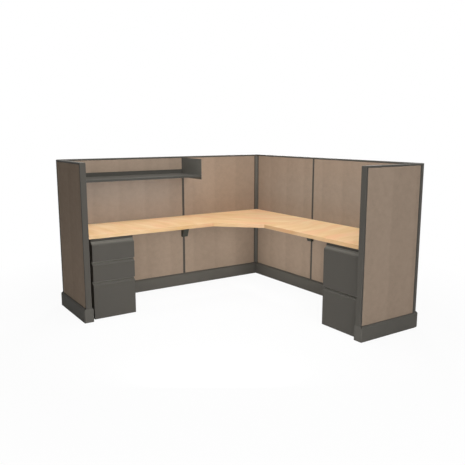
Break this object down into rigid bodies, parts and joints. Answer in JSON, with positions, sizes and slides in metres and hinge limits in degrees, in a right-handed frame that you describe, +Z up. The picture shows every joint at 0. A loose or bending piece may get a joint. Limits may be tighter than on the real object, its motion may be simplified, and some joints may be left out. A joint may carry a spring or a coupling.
{
  "type": "cubicle workstation",
  "caption": "L-shaped office cubicle with fabric panel walls, corner worktop, open shelf and drawer pedestals under both ends.",
  "frame": {"origin": "on the floor at the middle of the footprint", "axes": "+Z up; the station opens towards -X and -Y; the panel corner is at +X +Y"},
  "size_m": [2.3052, 2.3052, 1.344],
  "materials": {
    "tile_fabric": "woven fabric, taupe",
    "board_core": "pressed fibre board",
    "worktop_laminate": "light maple laminate with a matching edge",
    "trim_paint": "charcoal powder coat",
    "cover_paint": "charcoal powder coat",
    "drawer_steel": "charcoal paint",
    "slide_steel": "zinc plated",
    "plain_steel": "zinc plated",
    "glide_plastic": "black nylon"
  },
  "bodies": {
    "workstation": {"acoustic_boards": "board_core", "back_narrow_frame": "trim_paint", "back_wide_frame": "trim_paint", "corner_base_covers": "cover_paint", "corner_bracket": "trim_paint", "corner_caps": "trim_paint", "corner_post_covers": "cover_paint", "corner_posts": "trim_paint", "corner_worktop": "worktop_laminate", "end_base_caps": "cover_paint", "end_trims": "trim_paint", "left_pedestal_case": "trim_paint", "left_wing_frame": "trim_paint", "left_worktop": "worktop_laminate", "levelling_glides": "glide_plastic", "link_plates": "plain_steel", "link_screws": "plain_steel", "narrow_base_covers": "cover_paint", "narrow_skins": "tile_fabric", "right_pedestal_case": "trim_paint", "right_wing_frame": "trim_paint", "right_worktop": "worktop_laminate", "seam_brackets": "trim_paint", "shelf_left_end": "trim_paint", "shelf_pan": "trim_paint", "shelf_right_end": "trim_paint", "side_narrow_frame": "trim_paint", "side_wide_frame": "trim_paint", "slide_channels": "slide_steel", "splice_plates": "trim_paint", "top_caps": "trim_paint", "wide_base_covers": "cover_paint", "wide_skins": "tile_fabric", "wing_angles": "trim_paint", "wing_base_covers": "cover_paint", "wing_skins": "tile_fabric", "worktop_screws": "plain_steel"},
    "left_top_drawer": {"left_top_drawer_box": "drawer_steel", "left_top_drawer_front": "trim_paint", "left_top_drawer_runners": "slide_steel"},
    "left_top_drawer_slide_links": {"left_top_drawer_slide_links": "slide_steel"},
    "left_middle_drawer": {"left_middle_drawer_box": "drawer_steel", "left_middle_drawer_front": "trim_paint", "left_middle_drawer_runners": "slide_steel"},
    "left_middle_drawer_slide_links": {"left_middle_drawer_slide_links": "slide_steel"},
    "left_file_drawer": {"left_file_drawer_box": "drawer_steel", "left_file_drawer_folder_rails": "slide_steel", "left_file_drawer_front": "trim_paint", "left_file_drawer_runners": "slide_steel"},
    "left_file_drawer_slide_links": {"left_file_drawer_slide_links": "slide_steel"},
    "right_upper_drawer": {"right_upper_drawer_box": "drawer_steel", "right_upper_drawer_folder_rails": "slide_steel", "right_upper_drawer_front": "trim_paint", "right_upper_drawer_runners": "slide_steel"},
    "right_upper_drawer_slide_links": {"right_upper_drawer_slide_links": "slide_steel"},
    "right_lower_drawer": {"right_lower_drawer_box": "drawer_steel", "right_lower_drawer_folder_rails": "slide_steel", "right_lower_drawer_front": "trim_paint", "right_lower_drawer_runners": "slide_steel"},
    "right_lower_drawer_slide_links": {"right_lower_drawer_slide_links": "slide_steel"}
  },
  "joints": [
    {"name": "left_top_drawer_slide", "type": "slide", "parent": "workstation", "child": "left_top_drawer", "axis": [0, -1, 0], "range_m": [0, 0.45]},
    {"name": "left_top_drawer_link_slide", "type": "slide", "parent": "workstation", "child": "left_top_drawer_slide_links", "axis": [0, -1, 0], "range_m": [0, 0.225]},
    {"name": "left_middle_drawer_slide", "type": "slide", "parent": "workstation", "child": "left_middle_drawer", "axis": [0, -1, 0], "range_m": [0, 0.45]},
    {"name": "left_middle_drawer_link_slide", "type": "slide", "parent": "workstation", "child": "left_middle_drawer_slide_links", "axis": [0, -1, 0], "range_m": [0, 0.225]},
    {"name": "left_file_drawer_slide", "type": "slide", "parent": "workstation", "child": "left_file_drawer", "axis": [0, -1, 0], "range_m": [0, 0.45]},
    {"name": "left_file_drawer_link_slide", "type": "slide", "parent": "workstation", "child": "left_file_drawer_slide_links", "axis": [0, -1, 0], "range_m": [0, 0.225]},
    {"name": "right_upper_drawer_slide", "type": "slide", "parent": "workstation", "child": "right_upper_drawer", "axis": [-1, 0, 0], "range_m": [0, 0.45]},
    {"name": "right_upper_drawer_link_slide", "type": "slide", "parent": "workstation", "child": "right_upper_drawer_slide_links", "axis": [-1, 0, 0], "range_m": [0, 0.225]},
    {"name": "right_lower_drawer_slide", "type": "slide", "parent": "workstation", "child": "right_lower_drawer", "axis": [-1, 0, 0], "range_m": [0, 0.45]},
    {"name": "right_lower_drawer_link_slide", "type": "slide", "parent": "workstation", "child": "right_lower_drawer_slide_links", "axis": [-1, 0, 0], "range_m": [0, 0.225]}
  ],
  "couplings": [
    {"joint": "left_top_drawer_link_slide", "follows": "left_top_drawer_slide", "ratio": 0.5},
    {"joint": "left_middle_drawer_link_slide", "follows": "left_middle_drawer_slide", "ratio": 0.5},
    {"joint": "left_file_drawer_link_slide", "follows": "left_file_drawer_slide", "ratio": 0.5},
    {"joint": "right_upper_drawer_link_slide", "follows": "right_upper_drawer_slide", "ratio": 0.5},
    {"joint": "right_lower_drawer_link_slide", "follows": "right_lower_drawer_slide", "ratio": 0.5}
  ]
}
